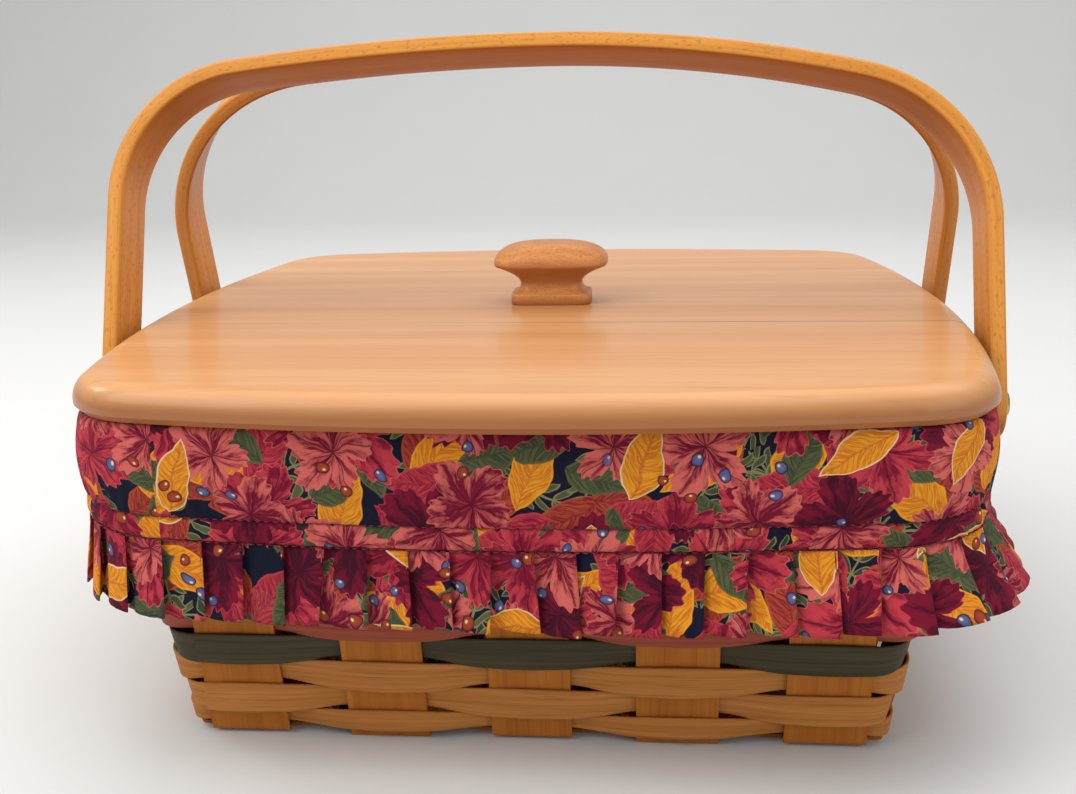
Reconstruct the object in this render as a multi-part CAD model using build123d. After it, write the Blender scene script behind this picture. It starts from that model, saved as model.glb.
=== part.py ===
"""Square splint basket with a wooden lid, two swing handles and a ruffled cloth liner.

Millimetres, +X to the right, +Y to the back, +Z up. The origin is on the ground,
in the middle of the woven bottom. Each piece is its own solid in its own file.
"""
from build123d import *
from math import asin, atan, cos, degrees, hypot, pi, radians, sin, sqrt, tan
import os

os.makedirs("parts", exist_ok=True)

# Woven body
UPRIGHTS = 5  # splints each way, so this many uprights on every side
UPRIGHT_PITCH = 54.0
UPRIGHT_WIDTH = 30.0
SPLINT = 1.3  # thickness of an upright
BASE_CORNER_R = 6.0  # middle of the wall at the ground
CORNER_FACETS = 6
FLARE_DEG = 12.0
ROWS = 10
ROW_PITCH = 9.8
FIRST_ROW_Z = 4.5
WEAVER = 1.2  # thickness of a weaver
WEAVE_CLEARANCE = 0.1
BEND_RADIUS = 1.6

# Rim
RIM_HEIGHT = 26.0
RIM_GAP = 1.5  # top weaver to the rim
OUTER_BAND_THICKNESS = 2.6
INNER_BAND_THICKNESS = 2.4
TACK_SHANK = 1.4
TACK_HEAD_WIDTH = 4.0
TACK_HEAD_THICKNESS = 0.7
TACK_DOWN = 7.0  # from the rim's top

# Cloth liner
CLOTH = 1.2
CLOTH_CLEARANCE = 0.5
BAG_CORNER = 9.0  # corner radius at the bag's floor
CUFF_BULGE = 1.6
CUFF_DROP = 35.0  # fold over the rim to the casing's upper seam
CASING_HEIGHT = 9.0
CASING_DEPTH = 4.4
ELASTIC_WIDTH = 6.0
ELASTIC = 1.0
RUFFLE_DROP = 28.5
RUFFLE_FLARE = 4.5
SIDE_PLEATS = 17  # knife pleats along the flat of each side
CORNER_PLEATS = 4
PLEAT_DEPTH = 2.6

# Swing handles
HANDLE_WIDTH = 25.4
HANDLE_THICKNESS = 6.4
HANDLE_REACH = 147.0  # pivot to the middle of the crown
HANDLE_CORNER_R = 63.0
HANDLE_CROWN_R = 560.0
CROWN_GAP = 0.4  # between the handles where they lean together
PIVOT_Y = 60.8
PIVOT_DOWN = 17.0  # from the rim's top
RIVET_R = 2.4
RIVET_HEAD_R = 6.0
RIVET_HEAD_HEIGHT = 2.4
RIVET_RUNNING = 0.05
RIVET_NECK = 3.2  # square shank that keeps the rivet from turning in the rim
TAIL_WIDTH = 6.0
WASHER_WIDTH = 9.0
WASHER = 0.8
SPACER_R = 8.0
SIDE_CLEARANCE = 0.3
LEG_CLEARANCE = 0.7  # between a leg and the lid's edge

# Lid
LID_OVERHANG = 12.0  # past the liner's cuff
LID_BOW = 17.0  # how far each side bows out past the corners
LID_CORNER_R = 37.0
LID_THICKNESS = 12.5
LID_ROUND_TOP = 8.5
LID_ROUND_BOTTOM = 2.5
LID_CLEARANCE = 0.3
SEAM_Y = -50.0
SEAM_GAP = 0.06
BATTEN_IN = 65.5  # from the lid's edge to a batten's middle
BATTEN_WIDTH = 28.0
BATTEN_END = 37.5  # from the lid's edge to a batten's end
BATTEN_THICKNESS = 9.0
BRAD_SHANK = 1.3
BRAD_HEAD_WIDTH = 2.6
BRAD_HEAD_HEIGHT = 0.8
BRAD_LENGTH = 17.0
BRAD_END = 24.0  # from a batten's end
KNOB_WIDTH = 50.0
KNOB_DEPTH = 34.0
KNOB_HEIGHT = 27.0
KNOB_FOOT = 35.0
KNOB_NECK = 27.0
KNOB_CORNER_R = 9.0
KNOB_SCREW_R = 2.0
KNOB_SCREW_HEAD_R = 4.2
KNOB_SCREW_HEAD_HEIGHT = 2.0
KNOB_SCREW_LENGTH = 26.0
HEAD_DEPTH = 3.0  # how deep the knob's screw head sits in the lid
GLUE_GAP = 0.05
HOLE_CLEARANCE = 0.03

# Places that follow from the sizes above
SLOPE = tan(radians(FLARE_DEG))
EDGE = (UPRIGHTS - 1) / 2 * UPRIGHT_PITCH + UPRIGHT_WIDTH / 2  # flat part of a side
BASE_HALF = EDGE + BASE_CORNER_R
COUNTS = range(-(UPRIGHTS // 2), UPRIGHTS // 2 + 1)
SPLINT_HALF = SPLINT / 2 / cos(radians(FLARE_DEG))
WEAVER_WIDTH = ROW_PITCH - 0.2
BAND_GAP = SPLINT_HALF + WEAVE_CLEARANCE
OUTER_FACE = BAND_GAP + OUTER_BAND_THICKNESS
INNER_FACE = BAND_GAP + INNER_BAND_THICKNESS
RIM_TOP_Z = FIRST_ROW_Z + ROWS * ROW_PITCH + RIM_GAP + RIM_HEIGHT
PIVOT_Z = RIM_TOP_Z - PIVOT_DOWN
TACK_Z = RIM_TOP_Z - TACK_DOWN
FOLD_Z = RIM_TOP_Z + 0.1
LID_Z = FOLD_Z + CLOTH + LID_CLEARANCE
LID_TOP_Z = LID_Z + LID_THICKNESS


def wall(z):
    """Distance from the basket's middle to the middle of its wall at height z."""
    return BASE_HALF + z * SLOPE


# How far a weaver swings to each side of the wall's middle, to lie clear of the leaning uprights
SWING = WEAVER / 2 + SPLINT_HALF + SLOPE * WEAVER_WIDTH / 2 + WEAVE_CLEARANCE
CROWN_OUT = HANDLE_REACH + HANDLE_THICKNESS / 2
HANDLE_LEAN_DEG = degrees(asin((PIVOT_Y - CROWN_GAP / 2) / hypot(CROWN_OUT, HANDLE_WIDTH / 2))
                          - atan(HANDLE_WIDTH / 2 / CROWN_OUT))
BAG_FACE = max(INNER_FACE + WASHER + 1.0, SWING + WEAVER / 2) + CLOTH_CLEARANCE
CUFF_HALF = wall(FOLD_Z) + OUTER_FACE + CLOTH + LID_CLEARANCE
LID_HALF = CUFF_HALF + LID_OVERHANG
HANDLE_HALF_SPAN = LID_HALF + LEG_CLEARANCE + HANDLE_THICKNESS / 2  # middle of each leg
BATTEN_X = LID_HALF - BATTEN_IN
BATTEN_LENGTH = 2 * (LID_HALF - BATTEN_END)
BRAD_REACH = BATTEN_LENGTH / 2 - BRAD_END


def corner_points(half, edge):
    """Square whose corners turn in short facets from where the flat part of a side ends."""
    points = []
    for quarter in range(4):
        middle_x, middle_y = [(1, -1), (1, 1), (-1, 1), (-1, -1)][quarter]
        for k in range(CORNER_FACETS + 1):
            turn = pi / 2 * (quarter + k / CORNER_FACETS)
            points.append((middle_x * edge + (half - edge) * sin(turn), middle_y * edge - (half - edge) * cos(turn)))
    return points


def flared(half, low, high, slope=SLOPE, edge=EDGE):
    """Solid with flat walls that lean out, its corners centred on the same spots at every height."""
    ends = (half, low), (half + slope * (high - low), high)
    lower, upper = [[(x, y, z) for x, y in corner_points(h, edge)] for h, z in ends]
    sides = [(lower[k - 1], lower[k], upper[k], upper[k - 1]) for k in range(len(lower))]
    return Solid(Shell([Face(Wire.make_polygon(corners)) for corners in (lower, upper, *sides)]))


def shell(half, low, high, thickness, slope=SLOPE, edge=EDGE):
    """Wall of even thickness, its outer face half a width of half at its lower edge."""
    return flared(half, low, high, slope, edge) - flared(half - thickness, low, high, slope, edge)


def save(shape, name, label=None):
    shape.label = label or name
    export_step(shape, f"parts/{name}.step")


def prism(r, height, sides=16):
    """Upright bar that stands in for a round one where nothing turns."""
    return extrude(RegularPolygon(r, sides), height / 2, both=True)


def across(r, x0, x1, y, z, turned=True):
    """Bar along X, from x0 to x1: round, or a prism where nothing turns on it."""
    bar = Cylinder(r, abs(x1 - x0)) if turned else prism(r, abs(x1 - x0), 18)
    return Pos((x0 + x1) / 2, y, z) * Rot(0, 90, 0) * bar


# Rivets, spacers and tacks are placed first, because what they pass through is drilled for them
PIVOTS = [(side, lane) for side in (-1, 1) for lane in (-1, 1)]
BAND_OUT = wall(PIVOT_Z) + OUTER_FACE
BAND_IN = wall(PIVOT_Z) - INNER_FACE
SEAT_WIDTH = WASHER_WIDTH + 0.8
SEAT_IN = BAND_IN + SLOPE * SEAT_WIDTH / 2 + 0.1  # flat seat cut into the leaning inner band
HANDLE_IN = HANDLE_HALF_SPAN - HANDLE_THICKNESS / 2
HANDLE_OUT = HANDLE_HALF_SPAN + HANDLE_THICKNESS / 2
HEAD_X = HANDLE_OUT + SIDE_CLEARANCE


def at_pivots(make):
    return [make(side, lane * PIVOT_Y) for side, lane in PIVOTS]


def block(width, x0, x1, y, z):
    """Square bar along X, from x0 to x1."""
    return Pos((x0 + x1) / 2, y, z) * Box(abs(x1 - x0), width, width)


def rivet(side, y):
    """Round where the handle turns, square through the rim; its tail is spread over a washer."""
    head = across(RIVET_HEAD_R, side * HEAD_X, side * (HEAD_X + RIVET_HEAD_HEIGHT), y, PIVOT_Z, turned=False)
    face = head.faces().sort_by(Axis.X)[-1 if side > 0 else 0]
    head = chamfer(face.edges(), RIVET_HEAD_HEIGHT * 0.5)
    barrel = across(RIVET_R, side * BARREL_IN, side * (HEAD_X + 0.5), y, PIVOT_Z)
    neck = block(RIVET_NECK, side * (SEAT_IN - WASHER - 0.5), side * (BARREL_IN + 0.5), y, PIVOT_Z)
    tail = block(TAIL_WIDTH, side * (SEAT_IN - WASHER - 1.0), side * (SEAT_IN - WASHER), y, PIVOT_Z)
    return head + barrel + neck + tail


def washer(side, y):
    plate = block(WASHER_WIDTH, side * (SEAT_IN - WASHER), side * SEAT_IN, y, PIVOT_Z)
    return plate - block(RIVET_NECK + 0.1, 0, side * HANDLE_OUT, y, PIVOT_Z)


BARREL_IN = BAND_OUT + SLOPE * RIVET_R + 0.3
BAND_LOW = RIM_TOP_Z - RIM_HEIGHT
BAND_SOLID = flared(wall(BAND_LOW) + OUTER_FACE + 0.05, BAND_LOW, RIM_TOP_Z)


def spacer(side, y):
    """Turned wooden collar that holds the handle out past the lid's edge."""
    bar = across(SPACER_R, side * BAND_IN, side * (HANDLE_IN - SIDE_CLEARANCE), y, PIVOT_Z, turned=False)
    bore = across(RIVET_R + RIVET_RUNNING, 0, side * HANDLE_OUT, y, PIVOT_Z)
    return bar - BAND_SOLID - bore


THROUGH = (HANDLE_OUT - BAND_IN) / 2  # from the bands' inner face, deep enough for any of them
NECK_HOLES = at_pivots(lambda s, y: block(RIVET_NECK + 0.1, s * (BAND_IN - THROUGH), s * HANDLE_OUT, y, PIVOT_Z))
WASHER_SEATS = at_pivots(lambda s, y: block(SEAT_WIDTH, s * (BAND_IN - THROUGH), s * SEAT_IN, y, PIVOT_Z))
BUTTONHOLES = at_pivots(lambda s, y: block(2 * SPACER_R + CLOTH, s * BAND_IN, s * HANDLE_OUT, y, PIVOT_Z))


def tack(angle, x, grow=0.0):
    """Cut tack driven from inside through the inner band, between two uprights, into the outer band."""
    start = wall(TACK_Z) - INNER_FACE - SLOPE * TACK_HEAD_WIDTH / 2
    end = wall(TACK_Z) + BAND_GAP + OUTER_BAND_THICKNESS * 0.5
    width = TACK_SHANK + 2 * grow
    shank = Pos(x, -(start + end) / 2, TACK_Z) * Box(width, end - start + 2 * grow, width)
    head = Pos(x, -(start - TACK_HEAD_THICKNESS / 2), TACK_Z) * Box(TACK_HEAD_WIDTH, TACK_HEAD_THICKNESS, TACK_HEAD_WIDTH)
    return Rot(0, 0, angle) * (shank if grow else shank + head)


TACK_SPOTS = [(angle, u * UPRIGHT_PITCH) for angle in (0, 90, 180, 270) for u in (-1.5, 0.5, 1.5)]
TACK_HOLES = [tack(angle, x, grow=0.05) for angle, x in TACK_SPOTS]


# Splints: each runs up one side, across the bottom and up the other side
def splint_outline(parity):
    """Side view of a splint, which passes over and under the crossing ones at the bottom."""
    raised = SPLINT + WEAVE_CLEARANCE / 2
    flat = UPRIGHT_WIDTH / 2 + 2
    under, over = [], []
    for v in COUNTS:
        level = raised if (v + parity) % 2 == 0 else 0.0
        reach = [v * UPRIGHT_PITCH - flat, v * UPRIGHT_PITCH + flat]
        if v == COUNTS[0]:
            edge_level = level
            reach = reach[1:]
        if v == COUNTS[-1]:
            reach = reach[:1]
        under += [(y, level) for y in reach]
        over += [(y, level + SPLINT) for y in reach]
    low, high = edge_level, RIM_TOP_Z - 0.5
    outer = wall(low) + SPLINT_HALF
    inner = wall(low + SPLINT) - SPLINT_HALF
    points = [(-(wall(high) + SPLINT_HALF), high), (-outer, low), *under, (outer, low),
              (wall(high) + SPLINT_HALF, high), (wall(high) - SPLINT_HALF, high),
              (inner, low + SPLINT), *over[::-1], (-inner, low + SPLINT),
              (-(wall(high) - SPLINT_HALF), high)]
    outline = make_face(Polyline(*points, close=True))
    bends = [v for v in outline.vertices() if abs(abs(v.X) - outer) < 0.01 and abs(v.Y - low) < 0.01]
    return fillet(bends, BEND_RADIUS)


def splint(u, quarter):
    """One splint, front to back, or left to right after a quarter turn."""
    parity = (u + quarter) % 2
    strip = extrude(Plane.YZ * splint_outline(parity), UPRIGHT_WIDTH / 2, both=True)
    strip = Rot(0, 0, 90 * quarter) * Pos(u * UPRIGHT_PITCH, 0, 0) * strip
    return strip - NECK_HOLES if quarter else strip


WAYS = {0: "front_back", 1: "left_right"}
for quarter, way in WAYS.items():
    for u in COUNTS:
        save(splint(u, quarter), f"splint_{way}_{u + UPRIGHTS // 2 + 1}")


# Weavers: closed rings that pass outside one upright and inside the next
def ring_face(row, z, offset):
    """Outline of one ring, offset from its middle line; the weave turns over at every corner."""
    half, corner_r = wall(z) + offset, wall(z) - EDGE + offset
    points = []
    for k in range(4):
        side = []
        for u in COUNTS:
            swing = SWING * (-1) ** (row + k + u + 1)
            side += [(u * UPRIGHT_PITCH + end * UPRIGHT_WIDTH / 2, -half - swing) for end in (-1, 1)]
        for t in (1 / 3, 2 / 3):
            reach = corner_r + (1 - 2 * t) * swing
            side.append((EDGE + reach * sin(pi / 2 * t), -EDGE - reach * cos(pi / 2 * t)))
        for _ in range(k):
            side = [(-y, x) for x, y in side]
        points += side
    return make_face(Polyline(*points, close=True))


def weaver(row):
    low = FIRST_ROW_Z + row * ROW_PITCH
    outer, inner = [ring_face(row, low + WEAVER_WIDTH / 2, side * WEAVER / 2) for side in (1, -1)]
    return Pos(0, 0, low) * extrude(outer - inner, WEAVER_WIDTH)


for row in range(ROWS):
    save(weaver(row), f"weaver_row_{row + 1}")


# Rim: two bands clasp the uprights' upper ends
def band(face_out, thickness):
    return shell(wall(BAND_LOW) + face_out, BAND_LOW, RIM_TOP_Z, thickness)


save(band(OUTER_FACE, OUTER_BAND_THICKNESS) - NECK_HOLES - TACK_HOLES, "rim_outer_band")
save(band(-BAND_GAP, INNER_BAND_THICKNESS) - NECK_HOLES - WASHER_SEATS - TACK_HOLES, "rim_inner_band")
save(Compound([tack(angle, x) for angle, x in TACK_SPOTS]), "rim_tacks")
save(Compound(at_pivots(rivet)), "handle_rivets")
save(Compound(at_pivots(washer)), "rivet_washers")
save(Compound(at_pivots(spacer)), "handle_spacers")


# Liner: a bag inside the basket, and a cuff turned down over the rim
BAG_FLOOR_Z = 2 * SPLINT + WEAVE_CLEARANCE + CLOTH_CLEARANCE
BAG_EDGE = wall(BAG_FLOOR_Z) - BAG_FACE - BAG_CORNER


def bag():
    outer = flared(wall(BAG_FLOOR_Z) - BAG_FACE, BAG_FLOOR_Z, FOLD_Z, edge=BAG_EDGE)
    low = BAG_FLOOR_Z + CLOTH
    return outer - flared(wall(low) - BAG_FACE - CLOTH, low, FOLD_Z + 1, edge=BAG_EDGE)


def cuff():
    """Cloth over the rim's top and down its outside, to the casing."""
    low, high = FOLD_Z + CLOTH - CUFF_DROP, FOLD_Z + CLOTH
    bulge_z, bulge = (low + high) / 2, CUFF_HALF + CUFF_BULGE
    hang = (shell(CUFF_HALF, low, bulge_z, CLOTH, slope=CUFF_BULGE / (bulge_z - low))
            + shell(bulge, bulge_z, high, CLOTH, slope=-CUFF_BULGE / (high - bulge_z)))
    inner_half = wall(FOLD_Z) - BAG_FACE - CLOTH
    top = flared(CUFF_HALF - 0.1, FOLD_Z, high, slope=0)
    return hang + top - flared(inner_half, FOLD_Z - 1, high + 1, slope=0, edge=BAG_EDGE)


CASING_Z = FOLD_Z + CLOTH - CUFF_DROP - CASING_HEIGHT  # lower seam
CASING_HALF = CUFF_HALF - 0.4


def casing():
    """Stitched tube of cloth that the elastic runs through."""
    low, high = CASING_Z + 0.05, CASING_Z + CASING_HEIGHT - 0.05
    tube = shell(CASING_HALF, low, high, CASING_DEPTH, slope=0)
    return tube - shell(CASING_HALF - CLOTH, low + CLOTH, high - CLOTH, CASING_DEPTH - 2 * CLOTH, slope=0)


def elastic():
    middle = CASING_Z + CASING_HEIGHT / 2
    half = CASING_HALF - CASING_DEPTH / 2 + ELASTIC / 2
    return shell(half, middle - ELASTIC_WIDTH / 2, middle + ELASTIC_WIDTH / 2, ELASTIC, slope=0)


def pleat_outline(half, inset):
    """Outline of the knife pleats at one height: each rises to its folded edge, then drops back."""
    steps = [(k / SIDE_PLEATS, False) for k in range(SIDE_PLEATS)]
    steps += [(k / CORNER_PLEATS, True) for k in range(CORNER_PLEATS)]
    corners = []
    for quarter in range(4):
        side = []
        for start, in_corner in steps:
            pleat = 1 / (CORNER_PLEATS if in_corner else SIDE_PLEATS)
            for part, rise in ((0.0, -0.5), (0.9, 0.5)):
                t, out = start + part * pleat, PLEAT_DEPTH * rise - inset
                if in_corner:
                    turn, reach = pi / 2 * t - inset * 0.9 / (half - EDGE), half - EDGE + out
                    side.append((EDGE + reach * sin(turn), -EDGE - reach * cos(turn)))
                else:
                    side.append((EDGE * (2 * t - 1) - inset * 0.9, -half - out))
        for _ in range(quarter):
            side = [(-y, x) for x, y in side]
        corners += side
    return make_face(Polyline(*corners, close=True))


def ruffle():
    """Knife-pleated frill that leans out towards its hem."""
    low, high = CASING_Z - RUFFLE_DROP, CASING_Z - 0.05
    half = CASING_HALF - PLEAT_DEPTH / 2
    ends = ((low, half + RUFFLE_FLARE), (high, half))
    outer, inner = [loft([Pos(0, 0, z) * pleat_outline(h, inset) for z, h in ends], ruled=True)
                    for inset in (0.0, CLOTH)]
    return outer - inner


save(bag(), "liner_bag")
save(cuff() - BUTTONHOLES, "liner_cuff")
save(casing(), "liner_casing")
save(elastic(), "liner_elastic")
save(ruffle(), "liner_ruffle")


# Handles: flat strips bent to an arch, pinned at both sides
def arch_outline(offset):
    """Half of the arch at a distance outside its centreline, from the foot to the crown."""
    corner_r, crown_r = HANDLE_CORNER_R + offset, HANDLE_CROWN_R + offset
    corner_x = HANDLE_HALF_SPAN - HANDLE_CORNER_R
    crown_z = HANDLE_REACH - HANDLE_CROWN_R
    gap = HANDLE_CROWN_R - HANDLE_CORNER_R
    corner_z = crown_z + sqrt(gap ** 2 - corner_x ** 2)
    ux, uz = corner_x / gap, (corner_z - crown_z) / gap  # from the crown's centre to the corner's
    mid = sqrt((1 + ux) ** 2 + uz ** 2)
    foot = (corner_x + corner_r, -HANDLE_WIDTH / 2)
    spring = (corner_x + corner_r, corner_z)
    shoulder = (corner_x + corner_r * (1 + ux) / mid, corner_z + corner_r * uz / mid)
    meet = (ux * crown_r, crown_z + uz * crown_r)
    return foot, spring, shoulder, meet, (0, crown_z + crown_r)


def arch_edge(offset):
    foot, spring, shoulder, meet, crown = arch_outline(offset)
    left = [(-x, z) for x, z in (foot, spring, shoulder, meet)]
    return [Line(foot, spring), ThreePointArc(spring, shoulder, meet), ThreePointArc(meet, crown, left[3]),
            ThreePointArc(left[3], left[2], left[1]), Line(left[1], left[0])]


def handle(lane):
    half = HANDLE_THICKNESS / 2
    outer, inner = arch_edge(half), arch_edge(-half)
    feet = [Line(outer[0] @ 0, inner[0] @ 0), Line(outer[-1] @ 1, inner[-1] @ 1)]
    face = make_face([*outer, *inner, *feet])
    strip = extrude(Plane.XZ * face, HANDLE_WIDTH / 2, both=True)
    above = HANDLE_REACH + HANDLE_WIDTH
    side_view = Circle(HANDLE_WIDTH / 2) + Pos(0, above / 2) * Rectangle(HANDLE_WIDTH, above)
    strip = strip & extrude(Plane.YZ * side_view, HANDLE_HALF_SPAN + HANDLE_THICKNESS, both=True)
    strip -= across(RIVET_R + RIVET_RUNNING, -HANDLE_OUT - 1, HANDLE_OUT + 1, 0, 0)
    return Pos(0, lane * PIVOT_Y, PIVOT_Z) * Rot(lane * HANDLE_LEAN_DEG, 0, 0) * strip


save(handle(-1), "front_handle")
save(handle(1), "back_handle")


# Lid: two glued boards with rounded edges, battens below and a knob on top
def lid_plate():
    c = LID_HALF - LID_BOW
    tips = [(-c, -c), (c, -c), (c, c), (-c, c)]
    bows = [(0, -LID_HALF), (LID_HALF, 0), (0, LID_HALF), (-LID_HALF, 0)]
    outline = make_face([ThreePointArc(tips[k], bows[k], tips[(k + 1) % 4]) for k in range(4)])
    outline = fillet(outline.vertices(), LID_CORNER_R)
    plate = extrude(Pos(0, 0, LID_Z) * outline, LID_THICKNESS)
    plate = fillet(plate.edges().group_by(Axis.Z)[-1], LID_ROUND_TOP)
    return chamfer(plate.edges().group_by(Axis.Z)[0], LID_ROUND_BOTTOM)


def brad(x, y, grow=0.0):
    """Square brad driven up through a batten into a board."""
    low = BATTEN_Z + BRAD_HEAD_HEIGHT / 4
    wide, thin = BRAD_HEAD_WIDTH + 2 * grow, BRAD_SHANK + 2 * grow
    head = Pos(x, y, low + BRAD_HEAD_HEIGHT / 2) * Box(wide, wide, BRAD_HEAD_HEIGHT + 2 * grow)
    shank = Pos(x, y, low + BRAD_LENGTH / 2) * Box(thin, thin, BRAD_LENGTH + 2 * grow)
    return head + shank


def knob_screw(grow=0.0):
    """Pan-headed screw driven up through the lid into the knob."""
    head = prism(KNOB_SCREW_HEAD_R + grow, KNOB_SCREW_HEAD_HEIGHT + 2 * grow)
    head = Pos(0, 0, KNOB_HEAD_Z - KNOB_SCREW_HEAD_HEIGHT / 2) * head
    shank = prism(KNOB_SCREW_R + grow, KNOB_SCREW_LENGTH + 2 * grow)
    shank = Pos(0, 0, KNOB_HEAD_Z + KNOB_SCREW_LENGTH / 2) * shank
    return head + shank


BRAD_SPOTS = [(side * BATTEN_X, y) for side in (-1, 1)
              for y in (-BRAD_REACH, SEAM_Y - BATTEN_WIDTH, SEAM_Y + 2 * BATTEN_WIDTH, BRAD_REACH)]
BATTEN_Z = LID_Z - GLUE_GAP - BATTEN_THICKNESS
KNOB_HEAD_Z = LID_Z + HEAD_DEPTH
HEAD_WELL = Pos(0, 0, LID_Z) * prism(KNOB_SCREW_HEAD_R * 1.2, 2 * HEAD_DEPTH)
DRILLED = [*(brad(x, y, HOLE_CLEARANCE) for x, y in BRAD_SPOTS), knob_screw(HOLE_CLEARANCE), HEAD_WELL]
plate = lid_plate() - DRILLED
board = Box(4 * LID_HALF, 4 * LID_HALF, 4 * LID_THICKNESS)
front_cut = Pos(0, SEAM_Y - 2 * LID_HALF - SEAM_GAP / 2, LID_Z) * board
back_cut = Pos(0, SEAM_Y + 2 * LID_HALF + SEAM_GAP / 2, LID_Z) * board
save(plate & front_cut, "lid_front_board")
save(plate & back_cut, "lid_back_board")


def batten(side):
    bar = Box(BATTEN_WIDTH, BATTEN_LENGTH, BATTEN_THICKNESS)
    bar = chamfer(bar.edges().group_by(Axis.Z)[0], BATTEN_THICKNESS / 4)
    bar = Pos(side * BATTEN_X, 0, BATTEN_Z + BATTEN_THICKNESS / 2) * bar
    return bar - [brad(x, y, HOLE_CLEARANCE) for x, y in BRAD_SPOTS]


def knob_outline(width, foot, neck):
    """One side view of the knob: low foot, waisted neck, and a head with a swelling edge and crown."""
    w, f, n, h = width / 2, foot / 2, neck / 2, KNOB_HEIGHT
    step, waist, under, bulge, over = [h * part for part in (0.17, 0.38, 0.59, 0.74, 0.89)]
    tuck = w - h * 0.1
    half = [Line((f, 0), (f, step)), ThreePointArc((f, step), (n, waist), (tuck, under)),
            ThreePointArc((tuck, under), (w, bulge), (tuck, over))]
    crown = ThreePointArc((tuck, over), (0, h), (-tuck, over))
    return make_face([*half, crown, *(mirror(edge, Plane.YZ) for edge in half), Line((-f, 0), (f, 0))])


def knob():
    """Sawn to shape from the front and from the side, with its corners rounded."""
    foot = KNOB_FOOT - (KNOB_WIDTH - KNOB_DEPTH) * 0.65
    neck = KNOB_NECK - (KNOB_WIDTH - KNOB_DEPTH) * 0.45
    front = extrude(Plane.XZ * knob_outline(KNOB_WIDTH, KNOB_FOOT, KNOB_NECK), KNOB_DEPTH, both=True)
    side = extrude(Plane.YZ * knob_outline(KNOB_DEPTH, foot, neck), KNOB_WIDTH, both=True)
    plan = extrude(RectangleRounded(KNOB_WIDTH, KNOB_DEPTH, KNOB_CORNER_R), KNOB_HEIGHT)
    return Pos(0, 0, LID_TOP_Z + GLUE_GAP) * (front & side & plan)


save(batten(-1), "lid_batten_left")
save(batten(1), "lid_batten_right")
save(Compound([brad(x, y) for x, y in BRAD_SPOTS]), "batten_brads")
save(knob() - knob_screw(HOLE_CLEARANCE), "knob")
save(knob_screw(), "knob_screw")

print("weaver swing %.2f, cuff half width %.1f, lid bottom %.1f" % (SWING, CUFF_HALF, LID_Z))
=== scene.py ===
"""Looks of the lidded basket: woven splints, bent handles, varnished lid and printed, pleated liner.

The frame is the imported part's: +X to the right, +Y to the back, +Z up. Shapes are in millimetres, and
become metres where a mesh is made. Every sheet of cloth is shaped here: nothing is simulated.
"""
import math

import bmesh
import bpy
import numpy as np
from mathutils import Matrix, Vector


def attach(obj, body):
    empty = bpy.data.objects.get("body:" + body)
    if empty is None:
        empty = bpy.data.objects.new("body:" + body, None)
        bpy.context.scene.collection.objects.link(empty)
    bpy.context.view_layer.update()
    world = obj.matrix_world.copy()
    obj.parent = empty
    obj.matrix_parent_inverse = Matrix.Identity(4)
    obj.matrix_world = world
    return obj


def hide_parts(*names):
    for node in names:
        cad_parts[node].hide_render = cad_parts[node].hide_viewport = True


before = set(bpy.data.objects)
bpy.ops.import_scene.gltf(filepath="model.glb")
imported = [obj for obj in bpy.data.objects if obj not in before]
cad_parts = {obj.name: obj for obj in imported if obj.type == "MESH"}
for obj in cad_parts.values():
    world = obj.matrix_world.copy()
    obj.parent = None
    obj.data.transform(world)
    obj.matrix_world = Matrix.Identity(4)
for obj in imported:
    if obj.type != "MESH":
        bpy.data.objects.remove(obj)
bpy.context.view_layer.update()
MM = 0.001
TURN = 2 * math.pi

# The part's own sizes, in millimetres as in its source
UPRIGHT_PITCH = 54.0
UPRIGHT_HALF = 15.0
EDGE = 123.0  # flat part of a side, from its middle
BASE_HALF = 129.0
SLOPE = math.tan(math.radians(12.0))
ROWS = 10
ROW_PITCH = 9.8
FIRST_ROW_Z = 4.5
FIRST_ROW = 7.5  # height of the narrow first row
LOWER_ROW = 11.1  # of the rows above it that show
LOWER_ROWS = 4
ROW_GAP = 0.2
FOLD_Z = 130.1
CLOTH = 1.2
SHEET = 0.6  # thickness of the cloth as shown
PLEATED_SHEET = 0.55
CUFF_HALF = 161.5
CUFF_CORNER_R = CUFF_HALF - EDGE
CASING_TOP = 96.3
CASING_LOW = 87.3
ELASTIC_HALF = 158.9
ELASTIC_WIDTH = 6.0
ELASTIC_THICKNESS = 1.0
FRILL = 27.3  # cloth below the casing
SIDE_RISE = 9.0  # how far the elastic is drawn up at the middle of the left and right sides
LID_TOP_Z = 144.1
SEAM_Y = -50.0  # between the lid's boards
GLUE_GAP = 0.05
PIVOT_Y = 60.8
PIVOT_Z = 113.0
HANDLE_LEAN = math.radians(18.87)
HANDLE_WIDTH = 25.4
HANDLE_THICKNESS = 6.4
HANDLE_EDGE_R = 1.3
HANDLE_HALF_SPAN = 177.4
HANDLE_REACH = 147.0
HANDLE_CORNER_R = 63.0
HANDLE_CROWN_R = 560.0
LEFT_CROWN_R = 1000.0  # the bends aren't quite even: the left half is flatter on top
FRONT_LEFT_CORNER_R = 55.0
BACK_LEFT_CORNER_R = 78.0


def wall(z):
    """Half width of the woven wall at height z."""
    return BASE_HALF + z * SLOPE


# Meshes
def mesh_object(name, points, faces):
    """Smooth object from points in millimetres and faces."""
    mesh = bpy.data.meshes.new(name)
    mesh.from_pydata((np.asarray(points) * MM).tolist(), [], faces)
    mesh.polygons.foreach_set("use_smooth", [True] * len(faces))
    obj = bpy.data.objects.new(name, mesh)
    bpy.context.collection.objects.link(obj)
    return obj


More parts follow.
